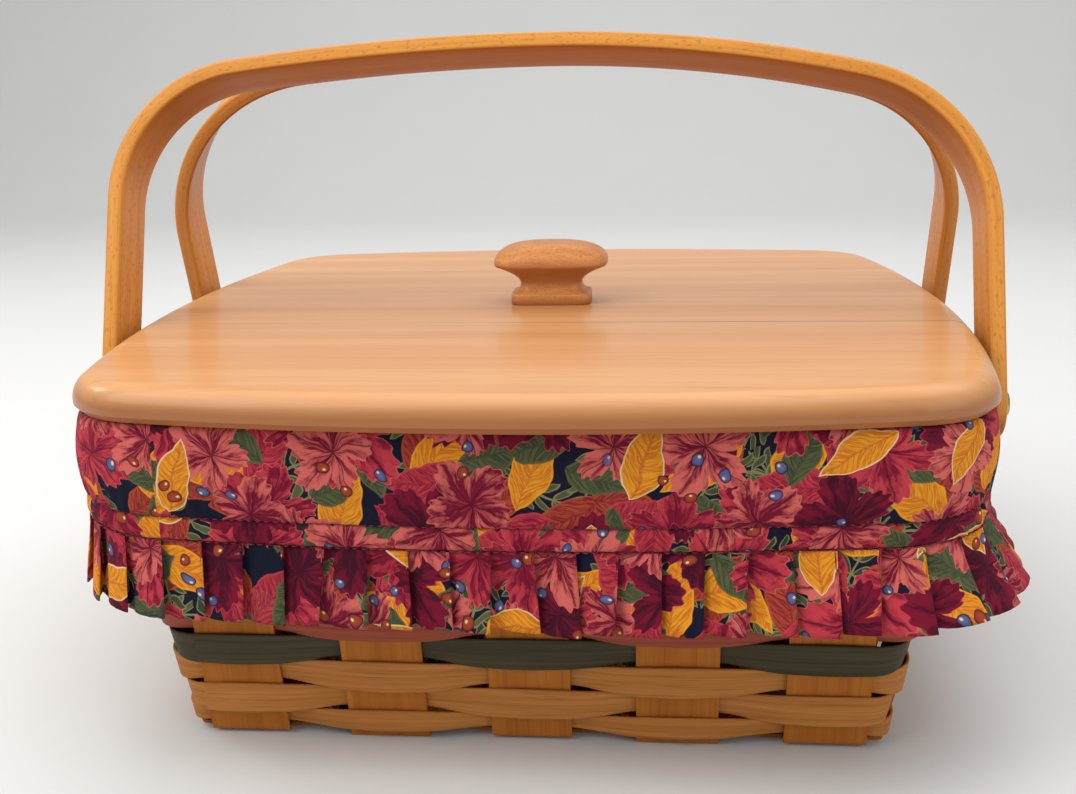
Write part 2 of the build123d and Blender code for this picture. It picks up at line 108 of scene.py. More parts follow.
def grid_mesh(name, points, uv, wrap_rows=False, wrap_columns=False, closed=False):
    """Object from rows and columns of points in millimetres, with the flat place of each in metres."""
    rows, columns = points.shape[:2]
    r = np.arange(rows if wrap_rows else rows - 1)
    c = np.arange(columns if wrap_columns else columns - 1)
    r, c = [index.ravel() for index in np.meshgrid(r, c, indexing="ij")]
    corners = [(r, c), (r, c + 1), (r + 1, c + 1), (r + 1, c)]
    faces = np.stack([(i % rows) * columns + j % columns for i, j in corners], axis=1)
    obj = mesh_object(name, points.reshape(-1, 3), faces.tolist())
    layer = obj.data.uv_layers.new(name="flat")
    layer.data.foreach_set("uv", np.stack([uv[i, j] for i, j in corners], axis=1).ravel())
    if closed:
        close_up(obj.data)
    return obj


def flat_grid(along, across):
    """Flat places, in metres, of a grid whose columns lie along and whose rows lie across, in millimetres."""
    return np.stack(np.meshgrid(along, across), axis=2) * MM


def spaced(total, count):
    """Even steps round a ring, without the last one, which is the first again."""
    return np.linspace(0, total, count + 1)[:-1]


def close_up(mesh):
    """Caps a mesh's open ends and turns its faces outward."""
    work = bmesh.new()
    work.from_mesh(mesh)
    bmesh.ops.holes_fill(work, edges=work.edges[:], sides=0)
    bmesh.ops.recalc_face_normals(work, faces=work.faces[:])
    work.to_mesh(mesh)
    work.free()


def around(distance, half, corner_r):
    """Points and outward directions on a rounded square with straight sides of 2 * EDGE.

    distance runs round the square whose corners have corner_r, and half may swell or shrink on the way.
    """
    side = 2 * EDGE + math.pi / 2 * corner_r
    quarter = np.floor(distance / side)
    along = distance - quarter * side
    turn = np.clip((along - 2 * EDGE) / corner_r, 0, None)
    x = np.minimum(along, 2 * EDGE) - EDGE + (half - EDGE) * np.sin(turn)
    y = -EDGE - (half - EDGE) * np.cos(turn)
    angle = quarter * math.pi / 2
    c, s = np.cos(angle), np.sin(angle)
    out_x, out_y = np.sin(turn), -np.cos(turn)
    return (c * x - s * y, s * x + c * y), (c * out_x - s * out_y, s * out_x + c * out_y)


def ring_length(half):
    return 4 * (2 * EDGE + math.pi / 2 * (half - EDGE))


CUFF_LENGTH = ring_length(CUFF_HALF)


def smooth(t):
    """0 to 1 with an easy start and end."""
    t = np.clip(t, 0, 1)
    return t * t * (3 - 2 * t)


def waves(distance, length, count, seed, low=3, high=40):
    """Random ripples round a ring, which meet themselves at the seam; about 1 high."""
    draw = np.random.default_rng(seed)
    total = np.zeros_like(distance)
    for _ in range(count):
        total += np.sin(TURN * (draw.integers(low, high) * distance / length + draw.random()))
    return total / math.sqrt(count)


def thicken(obj, thickness=SHEET, offset=-1.0):
    solid = obj.modifiers.new("thickness", "SOLIDIFY")
    solid.thickness = thickness * MM
    solid.offset = offset


def dress(obj, material, body):
    """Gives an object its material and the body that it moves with."""
    obj.data.materials.clear()
    obj.data.materials.append(material)
    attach(obj, body)
    return obj


# Shaders
def linear(*rgb):
    """Colour as seen on a screen, 0 to 255, as the renderer's own."""
    shares = [c / 255 for c in rgb]
    return tuple(c / 12.92 if c <= 0.04 else ((c + 0.055) / 1.055) ** 2.4 for c in shares) + (1.0,)


def darker(colour, share):
    return tuple(share * c for c in colour[:3]) + (1.0,)


class Shader:
    """A material, with short ways to add nodes to it."""

    def __init__(self, name, roughness=0.5, **inputs):
        self.material = bpy.data.materials.new(name)
        self.material.use_nodes = True
        self.tree = self.material.node_tree
        self.surface = self.tree.nodes["Principled BSDF"]
        self.put(self.surface, roughness=roughness, **inputs)

    def feed(self, socket, value):
        if isinstance(value, bpy.types.NodeSocket):
            self.tree.links.new(value, socket)
        else:
            socket.default_value = value

    def put(self, node, **inputs):
        for name, value in inputs.items():
            self.feed(node.inputs[name.replace("_", " ").title()], value)

    def node(self, kind, inputs=(), **settings):
        node = self.tree.nodes.new("ShaderNode" + kind)
        for name, value in settings.items():
            setattr(node, name, value)
        for index, value in dict(inputs).items():
            self.feed(node.inputs[index], value)
        return node

    def math(self, operation, *values, clamp=False):
        node = self.node("Math", dict(enumerate(values)), operation=operation, use_clamp=clamp)
        return node.outputs[0]

    def plus(self, a, b):
        return self.math("ADD", a, b)

    def minus(self, a, b):
        return self.math("SUBTRACT", a, b)

    def times(self, a, b):
        return self.math("MULTIPLY", a, b)

    def absolute(self, value):
        return self.math("ABSOLUTE", value)

    def distance(self, x, y):
        return self.math("SQRT", self.plus(self.times(x, x), self.times(y, y)))

    def split(self, vector):
        return self.node("SeparateXYZ", {0: vector}).outputs

    def vector(self, operation, *values):
        return self.node("VectorMath", dict(enumerate(values)), operation=operation).outputs[0]

    def scaled(self, vector, factors):
        return self.vector("MULTIPLY", vector, factors)

    def mix(self, factor, a, b, blend="MIX"):
        node = self.node("Mix", {0: factor, 6: a, 7: b}, data_type="RGBA", blend_type=blend)
        return node.outputs[2]

    def noise(self, vector, scale, detail=3.0, roughness=0.55, distortion=0.0):
        inputs = {"Vector": vector, "Scale": scale, "Detail": detail, "Roughness": roughness,
                  "Distortion": distortion}
        return self.node("TexNoise", inputs).outputs[0]

    def step(self, value, low, high):
        """0 below low and 1 above high."""
        return self.node("MapRange", {0: value, 1: low, 2: high, 3: 0.0, 4: 1.0}).outputs[0]

    def place(self, which="Object"):
        return self.node("TexCoord").outputs[which]

    def bump(self, height, depth, strength=0.6):
        node = self.node("Bump", {"Height": height, "Distance": depth, "Strength": strength})
        self.feed(self.surface.inputs["Normal"], node.outputs[0])

    def colour(self, value):
        self.feed(self.surface.inputs["Base Color"], value)


PORES = 4.2  # how much finer than the grain
PATCHES = 0.14


def wood(name, light, dark, grain, which="Object", roughness=0.42, coat=0.0, coat_roughness=0.3, shine=0.3,
         ring=0.0, pore=0.5, seam=None, shift=0.0, painted_shade_below=None, flecks=None):
    """Wood whose grain is drawn out along the axis with the small number in grain, counts per metre.

    The painted shade argument is a colour laid on faces turned away from the top in place of the shade that
    falls on them, with how far up they may face and still be unshaded or fully that colour. flecks is the
    size of short dark pores, as counts per metre.
    seam is where a glued seam runs across, which fades out to the left.
    """
    s = Shader(name, roughness=roughness, coat_weight=coat, coat_roughness=coat_roughness)
    s.surface.inputs["Specular IOR Level"].default_value = shine
    place = s.vector("ADD", s.place(which), (shift, shift, shift))
    streaks = s.noise(s.scaled(place, grain), 1.0, detail=5.0, roughness=0.62, distortion=0.4)
    pores = s.noise(s.scaled(place, tuple(PORES * g for g in grain)), 1.0, detail=2.0, roughness=0.5)
    patches = s.noise(s.scaled(place, tuple(PATCHES * g for g in grain)), 1.0, detail=2.0)
    tone = s.step(streaks, 0.28, 0.72)
    if ring:
        bands = s.step(s.math("SINE", s.times(patches, ring)), -1.0, 1.0)
        tone = s.plus(s.times(tone, 0.5), s.times(bands, 0.5))
    tone = s.math("ADD", s.times(tone, 0.68), s.times(patches, 0.32), clamp=True)
    colour = s.mix(tone, dark, light)
    lines = s.step(pores, 0.30, 0.42)
    colour = s.mix(s.times(s.minus(1.0, lines), pore), colour, darker(dark, 0.35))
    if seam is not None:
        x, y = s.split(s.place())[:2]
        gap = s.step(s.absolute(s.minus(y, seam)), 0.0006, 0.0002)
        shown = s.plus(0.3, s.times(s.step(x, -0.02, 0.05), 0.65))
        colour = s.mix(s.times(gap, shown), colour, linear(96, 48, 22))
    if flecks is not None:
        spots = s.step(s.noise(s.scaled(place, flecks), 1.0, detail=2.0), 0.43, 0.35)
        colour = s.mix(s.times(spots, 0.4), colour, darker(dark, 0.5))
    # Painted shade: faces turned away from the top take a darker colour in place of the shade they lie in
    if painted_shade_below is not None:
        shade, light_above, dark_below = painted_shade_below
        facing_up = s.split(s.place("Normal"))[2]
        turned = s.step(facing_up, light_above, dark_below)
        colour = s.mix(s.times(turned, 0.9), colour, s.mix(tone, darker(shade, 0.8), shade))
    s.colour(colour)
    s.bump(s.plus(s.times(streaks, 0.6), s.times(lines, pore)), 0.00025)
    return s.material


def metal(name, colour, roughness):
    s = Shader(name, roughness=roughness, metallic=1.0)
    wear = s.noise(s.place(), 900.0, detail=4.0)
    s.colour(s.mix(s.step(wear, 0.35, 0.75), colour, darker(colour, 0.55)))
    s.bump(wear, 0.00008)
    return s.material


def speckled(name, roughness, fineness, first, second):
    """Plain material in two close colours."""
    s = Shader(name, roughness=roughness)
    s.colour(s.mix(s.noise(s.place(), fineness), first, second))
    return s.material


# Printed cloth, drawn on the flat cloth in millimetres
def scatter(s, flat, spacing, shift, randomness=0.7):
    """Motif places spread over the cloth: x and y from each, turned a random way, and two random numbers."""
    moved = s.vector("ADD", flat, (shift, 1.7 * shift, 0.0))
    cells_wide = s.scaled(moved, (1 / spacing, 1 / spacing, 0.0))
    inputs = {"Vector": cells_wide, "Scale": 1.0, "Randomness": randomness}
    cells = s.node("TexVoronoi", inputs, voronoi_dimensions="2D")
    local = s.vector("SUBTRACT", moved, s.scaled(cells.outputs["Position"], (spacing, spacing, 0.0)))
    draws = s.node("SeparateColor", {0: cells.outputs["Color"]}).outputs
    angle = s.times(draws[0], TURN)
    turned = s.node("VectorRotate", {"Vector": local, "Angle": angle}, rotation_type="Z_AXIS").outputs[0]
    x, y = s.split(turned)[:2]
    return x, y, draws[1], draws[2]


def strokes(s, along, across, low=0.42, high=0.6):
    """Brush strokes: long along one number, fine across the other."""
    place = s.node("CombineXYZ", {0: along, 1: across}).outputs[0]
    return s.step(s.noise(place, 1.0, detail=3.0, roughness=0.6), low, high)


def almond(s, x, y, length, width):
    """How far inside a pointed leaf, in millimetres, its veins and its brush strokes."""
    t = s.math("DIVIDE", x, length)
    swell = s.times(s.minus(1.0, s.times(t, t)), width)
    edge = s.times(swell, s.plus(1.0, s.times(t, -0.28)))
    side = s.absolute(y)
    slant = s.minus(x, s.times(side, 1.1))
    rib = s.absolute(s.minus(s.math("FRACT", s.math("DIVIDE", slant, 2.9)), 0.5))
    veins = s.math("MAXIMUM", s.step(side, 0.55, 0.2), s.times(s.step(rib, 0.1, 0.03), 0.6))
    return s.minus(edge, side), veins, strokes(s, s.times(slant, 0.9), s.times(y, 0.22))


def lobed(s, x, y, radius, lobes=5, depth=0.46):
    """How far inside a blossom with pointed lobes, in millimetres, its veins and its brush strokes."""
    theta = s.math("ARCTAN2", y, x)
    reach = s.distance(x, y)
    half_turns = s.times(theta, lobes / 2)
    bulge = s.math("POWER", s.absolute(s.math("COSINE", half_turns)), 0.8)
    teeth = s.times(s.math("SINE", s.times(theta, 6.0 * lobes)), 0.04)
    longer = s.times(s.math("COSINE", theta), 0.12)
    edge = s.plus(s.plus(s.times(bulge, depth), 0.88 - depth), s.plus(teeth, longer))
    veins = s.step(s.times(s.absolute(s.math("SINE", half_turns)), reach), 0.85, 0.3)
    return s.minus(s.times(edge, radius), reach), veins, strokes(s, s.times(theta, 4.5), s.times(reach, 0.11))


SPRIG_PITCH = 5.2
SPRIG_LEAF = 3.4  # half a leaf's length


def sprig(s, x, y, length):
    """How far inside a stem with small leaves in pairs, in millimetres."""
    side = s.absolute(y)
    slant = s.minus(x, s.times(side, 0.8))
    cell = s.minus(s.math("FLOORED_MODULO", slant, SPRIG_PITCH), SPRIG_PITCH / 2)
    t = s.math("DIVIDE", s.minus(side, SPRIG_LEAF), SPRIG_LEAF)
    leaf = s.minus(s.times(s.minus(1.0, s.times(t, t)), 1.9), s.absolute(cell))
    stem = s.minus(0.55, side)
    ends = s.minus(length, s.absolute(x))
    return s.math("MINIMUM", s.math("MAXIMUM", leaf, stem), ends)


CREAM = linear(238, 212, 160)
BLUSH = linear(214, 104, 96)
BURGUNDY = linear(122, 14, 46)
WINE = linear(66, 8, 32)
SALMON = linear(194, 60, 72)
GOLD = linear(236, 160, 34)
AMBER = linear(200, 96, 34)
OLIVE = linear(92, 96, 60)
MOSS = linear(50, 60, 46)
NAVY = linear(14, 18, 40)
RUST = linear(176, 74, 44)
VIOLET = linear(104, 108, 162)


# Layers of the print from the ground up, each with its spacing and its shift first
SPRIGS = ((24.0, 11.0), (29.0, 57.0))
LEAVES = ((28.0, 31.0, 1.3, RUST, BURGUNDY), (33.0, 83.0, 1.5, GOLD, AMBER),
          (31.0, 131.0, 1.5, SALMON, BURGUNDY), (27.0, 7.0, 1.1, OLIVE, MOSS))
BLOSSOMS = ((43.0, 19.0, 21.0, BURGUNDY, SALMON, BLUSH), (49.0, 71.0, 21.0, WINE, BURGUNDY, SALMON),
            (45.0, 43.0, 18.0, BURGUNDY, BLUSH, BLUSH))
BEADS = ((15.0, 3.0, 2.3, VIOLET, NAVY), (17.0, 29.0, 2.5, RUST, WINE))
THREADS = 12.0


def lay(s, colour, inside, paint, edge=CREAM, keep=1.0, border=0.55):
    """Lays a motif with an edge of its own over what is there, where keep isn't 0."""
    rim = s.mix(s.step(inside, border, border + 0.5), edge, paint)
    return s.mix(s.times(s.step(inside, 0.0, 0.3), keep), colour, rim)


def printed_cloth(name):
    """Cotton with blossoms, leaves, sprigs and beads on a dark ground."""
    s = Shader(name, roughness=0.9)
    s.surface.inputs["Specular IOR Level"].default_value = 0.2
    flat = s.scaled(s.place("UV"), (1 / MM, 1 / MM, 0.0))
    mottle = s.noise(flat, 0.1, detail=3.0)
    wobble = s.node("TexNoise", {"Vector": flat, "Scale": 0.07, "Detail": 2.0}).outputs[1]
    flat = s.vector("ADD", flat, s.scaled(s.vector("SUBTRACT", wobble, (0.5, 0.5, 0.5)), (7.0, 7.0, 0.0)))
    colour = s.mix(s.step(mottle, 0.45, 0.7), NAVY, linear(30, 20, 46))
    for spacing, shift in SPRIGS:
        x, y, hue, _ = scatter(s, flat, spacing, shift)
        paint = s.mix(hue, OLIVE, MOSS)
        colour = lay(s, colour, sprig(s, x, y, 13.0), paint, edge=linear(142, 140, 92), border=0.3)
    for spacing, shift, size, first, second in LEAVES:
        x, y, _, chance = scatter(s, flat, spacing, shift)
        inside, veins, brush = almond(s, x, y, 11.0 * size, 5.2 * size)
        paint = s.mix(s.times(brush, 0.85), first, second)
        paint = s.mix(s.times(veins, 0.5), paint, second)
        colour = lay(s, colour, inside, paint, edge=first, keep=s.step(chance, 0.18, 0.2))
    for spacing, shift, radius, first, second, edge in BLOSSOMS:
        x, y, hue, chance = scatter(s, flat, spacing, shift)
        inside, veins, brush = lobed(s, x, y, radius)
        deep = s.step(inside, 0.0, radius * 0.8)
        shade = s.plus(s.times(deep, 0.75), s.times(brush, 0.75))
        shade = s.plus(shade, s.times(s.minus(hue, 0.5), 0.4))
        paint = s.mix(s.step(shade, 0.25, 0.95), second, first)
        paint = s.mix(s.times(veins, 0.7), paint, WINE)
        colour = lay(s, colour, inside, paint, edge=edge, keep=s.step(chance, 0.10, 0.12), border=0.2)
    x, y, _, chance = scatter(s, flat, 41.0, 97.0)
    inside, veins, brush = almond(s, x, y, 15.0, 6.6)
    paint = s.mix(s.times(brush, 0.8), GOLD, AMBER)
    paint = s.mix(s.times(veins, 0.5), paint, RUST)
    colour = lay(s, colour, inside, paint, keep=s.step(chance, 0.42, 0.43), border=0.35)
    for spacing, shift, radius, fill, shade in BEADS:
        x, y, _, chance = scatter(s, flat, spacing, shift, randomness=0.9)
        reach = s.distance(x, y)
        glint = s.step(s.distance(s.minus(x, 0.7), s.minus(y, 0.6)), 0.65, 0.35)
        ball = s.mix(s.step(reach, 0.2, radius), fill, s.mix(0.55, fill, shade))
        ball = s.mix(glint, ball, CREAM)
        keep = s.step(chance, 0.74, 0.75)
        colour = lay(s, colour, s.minus(radius, reach), ball, edge=shade, keep=keep, border=0.25)
    x, y = s.split(flat)[:2]
    threads = s.times(s.math("SINE", s.times(x, THREADS)), s.math("SINE", s.times(y, THREADS)))
    weave = s.mix(s.step(threads, -1.0, 1.0), (0.84, 0.84, 0.84, 1.0), (1.0, 1.0, 1.0, 1.0))
    s.colour(s.mix(1.0, colour, weave, blend="MULTIPLY"))
    s.bump(s.plus(s.times(threads, 0.5), s.noise(flat, 0.5, detail=4.0)), 0.00018, strength=0.5)
    return s.material


# Camera, light and floor
CAMERA_PLACE = Vector((0.0455, -0.5549, LID_TOP_Z * MM + 0.0995))
CAMERA_PITCH = math.radians(14.48)
CAMERA_YAW = math.radians(5.44)
CAMERA_ROLL = math.radians(-1.28)
SENSOR = 36.0
LENS = 42.26


def place_camera():
    """The photograph's own view, with the place, turn and lens that fit it best."""
    ahead = Vector((-math.sin(CAMERA_YAW), math.cos(CAMERA_YAW), 0))
    right = Vector((math.cos(CAMERA_YAW), math.sin(CAMERA_YAW), 0))
    up = Vector((0, 0, 1))
    forward = math.cos(CAMERA_PITCH) * ahead - math.sin(CAMERA_PITCH) * up
    top = math.sin(CAMERA_PITCH) * ahead + math.cos(CAMERA_PITCH) * up
    side = math.cos(CAMERA_ROLL) * right + math.sin(CAMERA_ROLL) * top
    top = -math.sin(CAMERA_ROLL) * right + math.cos(CAMERA_ROLL) * top
    data = bpy.data.cameras.new("view")
    data.sensor_width, data.lens = SENSOR, LENS
    camera = bpy.data.objects.new("view", data)
    matrix = Matrix((side, top, -forward)).transposed().to_4x4()
    matrix.translation = CAMERA_PLACE
    camera.matrix_world = matrix
    bpy.context.collection.objects.link(camera)
    bpy.context.scene.camera = camera


def softbox(name, place, aim, size, power, colour=(1.0, 1.0, 1.0)):
    data = bpy.data.lights.new(name, "AREA")
    data.size, data.energy, data.color = size, power, colour
    lamp = bpy.data.objects.new(name, data)
    lamp.location = place
    lamp.rotation_euler = (Vector(aim) - Vector(place)).to_track_quat("-Z", "Y").to_euler()
    bpy.context.collection.objects.link(lamp)


FLOOR_HALF_WIDTH = 4.0
FLOOR_FRONT = -3.0
BEND_Y = 1.6  # where the floor starts to bend up into the wall
BEND_R = 0.9
WALL_TOP = 4.0


def studio():
    """Soft light from the upper left, and a pale floor that bends up into a wall."""
    softbox("key", (-0.95, -0.7, 1.15), (0, 0, 0.08), 1.0, 10.0, (1.0, 0.97, 0.92))
    softbox("window", (-1.2, 0.3, 0.95), (0, 0, 0.1), 0.3, 2.0)
    softbox("fill", (1.1, -0.8, 0.6), (0, 0, 0.1), 1.0, 3.0, (0.94, 0.97, 1.0))
    softbox("top", (0.1, 0.2, 1.7), (0, 0, 0.1), 2.4, 29.0)
    world = bpy.data.worlds.new("studio")
    world.use_nodes = True
    world.node_tree.nodes["Background"].inputs[0].default_value = (0.93, 0.93, 0.93, 1.0)
    world.node_tree.nodes["Background"].inputs[1].default_value = 0.56
    bpy.context.scene.world = world
    bpy.context.scene.view_settings.view_transform = "Standard"
    bend = [(BEND_Y + BEND_R * math.sin(a), BEND_R - BEND_R * math.cos(a))
            for a in np.linspace(0, math.pi / 2, 13)]
    profile = [(FLOOR_FRONT, 0.0)] + bend + [(BEND_Y + BEND_R, WALL_TOP)]
    points = np.array([[(x, y, z) for x in (-FLOOR_HALF_WIDTH, FLOOR_HALF_WIDTH)] for y, z in profile]) / MM
    floor = grid_mesh("floor", points, np.zeros(points.shape[:2] + (2,)))
    floor.data.materials.append(speckled("floor", 0.8, 6.0, (0.70, 0.70, 0.69, 1.0), (0.73, 0.73, 0.72, 1.0)))


# Woven rows
def row_edges():
    """Heights between the rows: a narrow first row, wider ones up to the frill, and the rest above them."""
    lower = FIRST_ROW_Z + FIRST_ROW + LOWER_ROW * np.arange(LOWER_ROWS + 1)
    upper = np.linspace(lower[-1], FIRST_ROW_Z + ROWS * ROW_PITCH, ROWS - LOWER_ROWS)[1:]
    return np.concatenate([[FIRST_ROW_Z], lower, upper])


WEAVE_SWING = 1.8
STRIP_HALF = 0.52  # half a weaver's thickness
STRIP_WORN = 0.28
SPREAD = 1.5  # how much taller a weaver stands outside an upright than between two
PINCH = 3.3  # how much less tall it stands inside one
FIRST_PINCH = 1.4
# A weaver's section, as outer or inner side, upper or lower edge, and worn steps in from each
STRIP_SECTION = [(1, -1, 0, 1), (1, -1, 0, 3), (1, 0, 0, 0), (1, 1, 0, 3), (1, 1, 0, 1), (1, 1, 1, 0),
                 (-1, 1, 1, 0), (-1, 1, 0, 1), (-1, 0, 0, 0), (-1, -1, 0, 1), (-1, -1, 1, 0), (1, -1, 1, 0)]


def swing_knots(row, length):
    """Where a row meets and leaves each upright, and 1 outside it or -1 inside, once round and closed."""
    side = length / 4
    knots = []
    for quarter in range(4):
        for u in range(-2, 3):
            sign = (-1) ** (row + quarter + u + 1)
            centre = quarter * side + EDGE + u * UPRIGHT_PITCH
            knots += [(centre - UPRIGHT_HALF * 0.8, sign), (centre + UPRIGHT_HALF * 0.8, sign)]
    return [(knots[-1][0] - length, knots[-1][1])] + knots + [(knots[0][0] + length, knots[0][1])]


def weaver_row(row, material):
    """A strip that swings outside one upright and inside the next, and packs down between them."""
    draw = np.random.default_rng(100 + row)
    bottom, top = row_edges()[row:row + 2]
    middle = (bottom + top) / 2
    length = ring_length(wall(middle))
    distance = spaced(length, 420)
    swing = np.zeros_like(distance)
    knots = swing_knots(row, length)
    for (d0, s0), (d1, s1) in zip(knots, knots[1:]):
        here = (distance >= d0) & (distance < d1)
        t = (distance[here] - d0) / (d1 - d0)
        swing[here] = s0 + (s1 - s0) * smooth(t) + (0.25 * s0 * np.sin(math.pi * t) if s0 == s1 else 0)
    out = WEAVE_SWING * swing + 0.10 * waves(distance, length, 6, 200 + row, 5, 34)
    front, back = np.clip(swing, 0, None), np.clip(-swing, 0, None)
    spread = SPREAD * front - (PINCH if row else FIRST_PINCH) * back
    height = top - bottom - ROW_GAP + spread * (1 + 0.05 * waves(distance, length, 5, 300 + row, 4, 20))
    lift = 0.16 * waves(distance, length, 5, 400 + row, 3, 16)
    tilt = 0.07 * front
    rows, flat_rows = [], []
    for out_sign, up_sign, inset_out, inset_up in STRIP_SECTION:
        away = out_sign * (STRIP_HALF - inset_out * STRIP_WORN)
        up = up_sign * (height / 2 - inset_up * STRIP_WORN)
        half = wall(middle) + out + away + (SLOPE - tilt) * up
        (x, y), _ = around(distance, half, wall(middle) - EDGE)
        rows.append(np.stack([x, y, middle + lift + up - SLOPE * away], axis=1))
        flat_rows.append(np.append(up, up[0]))
    stations = np.append(distance, length) + 1000 * draw.random()
    flat_rows = np.array(flat_rows + flat_rows[:1])
    uv = np.stack([np.broadcast_to(stations, flat_rows.shape), flat_rows + 40 * row], axis=2) * MM
    obj = grid_mesh(f"woven_row_{row + 1}", np.array(rows), uv, wrap_rows=True, wrap_columns=True)
    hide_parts(f"weaver_row_{row + 1}")
    return dress(obj, material, "basket")


# Liner
def side_rise(distance):
    """How far the elastic and what hangs from it are drawn up: not at all in front, most at the sides."""
    front_middle = EDGE / CUFF_LENGTH
    return SIDE_RISE * (0.5 - 0.5 * np.cos(2 * TURN * (distance / CUFF_LENGTH - front_middle)))


def puckers(distance, seed):
    """Small folds where cloth is drawn up along a seam: sharp valleys, round tops."""
    base = waves(distance, CUFF_LENGTH, 4, seed, 95, 150)
    fine = waves(distance, CUFF_LENGTH, 4, seed + 5, 190, 260)
    return np.abs(base) * 0.8 + 0.25 * fine


CUFF_INSIDE = 11.0  # how far the cuff starts in from its face
PRINT_EASE = 1.04  # the print runs on cloth that is a little longer than the ring


def cuff_profile():
    """Run of the cuff, as distance out from its face and height, from inside the rim down to the casing."""
    inner, start = -CUFF_INSIDE, FOLD_Z - 0.8
    profile = [(inner, FOLD_Z - 6.0), (inner + 0.3, FOLD_Z - 1.5), (inner + 1.4, FOLD_Z + 0.5),
               (-6.0, FOLD_Z + CLOTH), (-3.0, FOLD_Z + CLOTH), (-1.0, FOLD_Z + 0.7), (0.0, start)]
    return profile + [(0.2 + 1.5 * math.sin(math.pi * t), start - t * (start - CASING_TOP))
                      for t in np.linspace(0.07, 1.0, 15)]


def cuff(material):
    """Cloth turned over the rim and down to the casing."""
    distance = spaced(CUFF_LENGTH, 1180)
    rise = side_rise(distance)
    soft = waves(distance, CUFF_LENGTH, 7, 21, 4, 22)
    soft_low = waves(distance, CUFF_LENGTH, 7, 22, 8, 34)
    pucker = puckers(distance, 23)
    profile = cuff_profile()
    rows, flats, run = [], [], 0.0
    for k, (out, z) in enumerate(profile):
        if k:
            run += math.dist(profile[k - 1], profile[k])
        down = float(np.clip((FOLD_Z - z) / (FOLD_Z - CASING_TOP), 0, 1))
        hang = math.sin(math.pi * down) if down > 0 else 0.0
        near_seam = float(smooth(np.array((down - 0.35) / 0.65)))
        shift = hang * (0.55 * soft + 0.45 * soft_low) + near_seam * 0.8 * (pucker - 0.7)
        if k == len(profile) - 1:
            shift = 0.5 * (pucker - 0.9)
        (x, y), _ = around(distance, CUFF_HALF + out + shift, CUFF_CORNER_R)
        rows.append(np.stack([x, y, z + down * rise], axis=1))
        flats.append(-run)
    uv = flat_grid(np.append(distance, CUFF_LENGTH) * PRINT_EASE, flats)
    obj = grid_mesh("cuff", np.array(rows)[::-1], uv[::-1], wrap_columns=True)
    thicken(obj)
    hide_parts("liner_cuff")
    dress(obj, material, "basket")
    return obj


CASING_EASE = 1.10
CASING_PRINT = 70.0  # where its part of the print starts


def casing(material):
    """Puffed tube round the elastic, which draws it up, pinched by a row of stitches above and below."""
    distance = spaced(CUFF_LENGTH, 1600)
    rise = side_rise(distance)
    first, second = puckers(distance, 41), puckers(distance, 47)
    middle, half_height = (CASING_TOP + CASING_LOW) / 2, (CASING_TOP - CASING_LOW) / 2
    front = [(level, 1) for level in np.linspace(-1, 1, 13)]
    back = [(level, -1) for level in np.linspace(0.8, -0.8, 6)]
    rows, flats, run = [], [], 0.0
    previous = None
    for level, side in front + back:
        z = middle + half_height * level
        puff = math.sqrt(max(0.0, 1 - abs(level) ** 2.6))
        here = (2.0 * side * puff, z)
        run += math.dist(previous, here) if previous else 0.0
        previous = here
        fold = (1 - level) / 2 * first + (1 + level) / 2 * second
        if side > 0:
            shift = -1.4 + 2.2 * puff + (0.5 + 0.9 * puff) * (fold - 0.75)
        else:
            shift = -1.6 - 2.6 * puff + 0.1 * fold
        (x, y), _ = around(distance, CUFF_HALF + shift, CUFF_CORNER_R)
        rows.append(np.stack([x, y, z + rise + 0.25 * fold], axis=1))
        flats.append(run)
    flats.append(run + 1.0)
    uv = flat_grid(np.append(distance, CUFF_LENGTH) * CASING_EASE, np.array(flats) + CASING_PRINT)
    obj = grid_mesh("casing", np.array(rows), uv, wrap_rows=True, wrap_columns=True)
    thicken(obj)
    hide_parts("liner_casing")
    dress(obj, material, "basket")
    return obj


PLEATS = 86
# One knife pleat seen from above: along, in pitches, and outward, in depths
FACE = [(-0.45, -0.5), (-0.12, -0.48), (0.0, -0.43), (0.08, -0.3), (0.16, -0.06), (0.35, 0.2), (0.62, 0.38),
        (0.88, 0.48)]
FOLD_EDGE = [(0.985, 0.47), (1.0, 0.38), (0.975, 0.30)]
BACK = [(0.86, 0.16), (0.70, -0.14), (0.585, -0.38), (0.545, -0.47)]
RUFFLE_PRINT = 250.0


